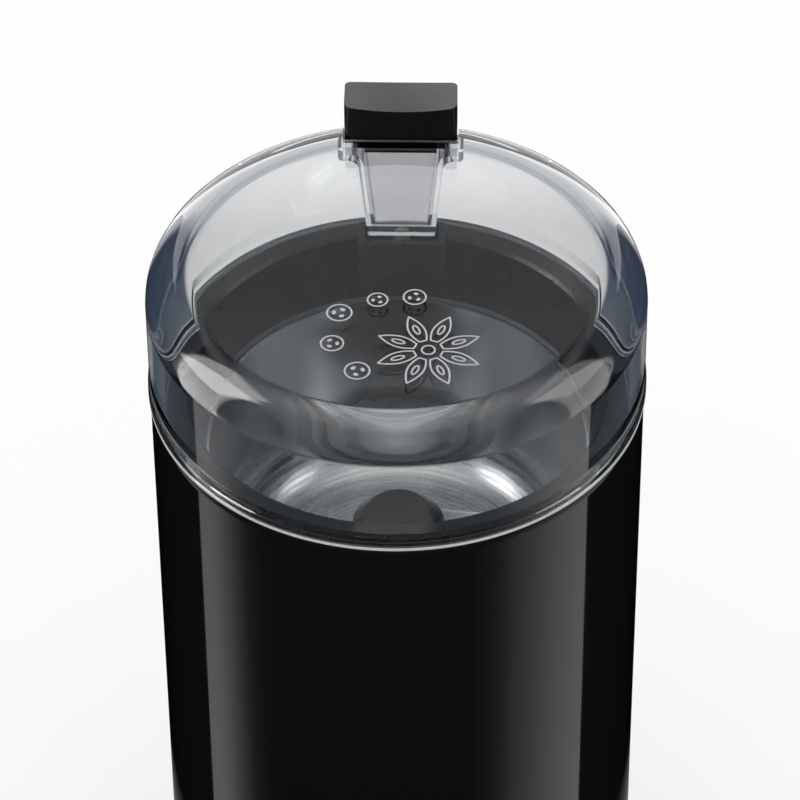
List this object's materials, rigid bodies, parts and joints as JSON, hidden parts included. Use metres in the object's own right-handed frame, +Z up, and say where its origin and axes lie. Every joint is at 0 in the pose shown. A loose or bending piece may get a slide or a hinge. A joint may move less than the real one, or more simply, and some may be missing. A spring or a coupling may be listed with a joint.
{
  "type": "electric spice grinder",
  "caption": "Countertop blade grinder for spices and coffee: clear lift-off lid with a rear push button, steel bowl with a spinning blade, and a gloss black motor housing.",
  "frame": {"origin": "centre of the rubber foot ring's underside, on the surface the grinder stands on", "axes": "+Z up along the motor shaft, +Y towards the rear, where the push button and the cord gland are, -Y the front, +X to the right seen from the front"},
  "size_m": [0.0886, 0.0886, 0.1777],
  "materials": {
    "gloss_black_abs": "piano black, moulded and polished",
    "gloss_black_button": "gloss black, moulded",
    "satin_black_abs": "satin moulded black",
    "textured_black_abs": "fine spark-eroded texture",
    "clear_plastic": "clear injection moulded plastic",
    "drawn_stainless": "deep drawn, turned satin finish",
    "blade_stainless": "ground stainless steel",
    "ground_steel": "ground shaft steel",
    "spring_steel": "spring wire",
    "zinc_steel": "bright zinc plated",
    "lamination_steel": "stacked electrical steel",
    "cast_bracket": "die cast",
    "sintered_bronze": "oil soaked sintered bronze",
    "brass": "stamped brass",
    "copper_wire": "enamelled copper wire",
    "copper_bars": "turned copper bars",
    "carbon": "pressed carbon",
    "black_rubber": "moulded rubber",
    "grey_silicone": "moulded silicone",
    "black_nylon": "moulded nylon",
    "white_nylon": "moulded nylon",
    "natural_nylon": "natural moulded nylon",
    "red_nylon": "moulded nylon",
    "fan_plastic": "glass filled nylon",
    "yellow_film": "dipped film capacitor",
    "brown_pvc": "lead insulation",
    "black_pvc": "lead insulation",
    "blue_pvc": "lead insulation"
  },
  "bodies": {
    "body": {"housing": "gloss_black_abs", "collar": "satin_black_abs", "bowl": "drawn_stainless", "bowl_gasket": "grey_silicone", "collar_screws": "zinc_steel", "base_tray": "textured_black_abs", "foot_ring": "black_rubber", "base_screws": "zinc_steel", "cord_gland": "black_rubber", "cord_clamp": "black_nylon", "clamp_screws": "zinc_steel", "terminal_block": "white_nylon", "rod_spring": "spring_steel", "micro_switch": "black_nylon", "switch_terminals": "brass", "upper_bracket": "cast_bracket", "lower_bracket": "black_nylon", "motor_buffers": "black_rubber", "motor_screws": "zinc_steel", "tie_bolts": "zinc_steel", "tie_nuts": "zinc_steel", "stator_core": "lamination_steel", "field_coils": "copper_wire", "thermal_cutout": "natural_nylon", "upper_bush": "sintered_bronze", "lower_bush": "sintered_bronze", "shaft_seal": "black_rubber", "bowl_grommet": "black_rubber", "brush_holders": "brass", "carbon_brushes": "carbon", "brush_springs": "spring_steel", "capacitor": "yellow_film", "live_lead": "brown_pvc", "switched_lead": "black_pvc", "coil_lead": "black_pvc", "neutral_lead": "blue_pvc"},
    "lid": {"lid": "clear_plastic"},
    "button": {"push_button": "gloss_black_button", "push_rod": "clear_plastic"},
    "switch_rod": {"switch_rod": "natural_nylon"},
    "switch_key": {"switch_key": "red_nylon"},
    "rotor": {"motor_shaft": "ground_steel", "armature_core": "lamination_steel", "armature_winding": "copper_wire", "commutator": "copper_bars", "shaft_washers": "brass", "fan": "fan_plastic", "blade_hub": "satin_black_abs", "blade": "blade_stainless", "blade_nut": "satin_black_abs"}
  },
  "joints": [
    {"name": "lid_lift", "type": "slide", "parent": "body", "child": "lid", "axis": [0, 0, 1], "range_m": [0, 0.07]},
    {"name": "button_press", "type": "slide", "parent": "lid", "child": "button", "axis": [0, 0, -1], "range_m": [0, 0.003], "stiffness_N_per_m": 700, "springref_m": -0.0015},
    {"name": "switch_rod_press", "type": "slide", "parent": "body", "child": "switch_rod", "axis": [0, 0, -1], "range_m": [0, 0.003], "deforming": ["rod_spring"]},
    {"name": "switch_key_press", "type": "slide", "parent": "body", "child": "switch_key", "axis": [0, 0, -1], "range_m": [0, 0.003]},
    {"name": "blade_spin", "type": "hinge", "parent": "body", "child": "rotor", "pos_m": [0, 0, 0.1062], "axis": [0, 0, 1], "continuous": true}
  ],
  "couplings": [
    {"joint": "switch_rod_press", "follows": "button_press", "ratio": 1},
    {"joint": "switch_key_press", "follows": "button_press", "ratio": 1}
  ]
}
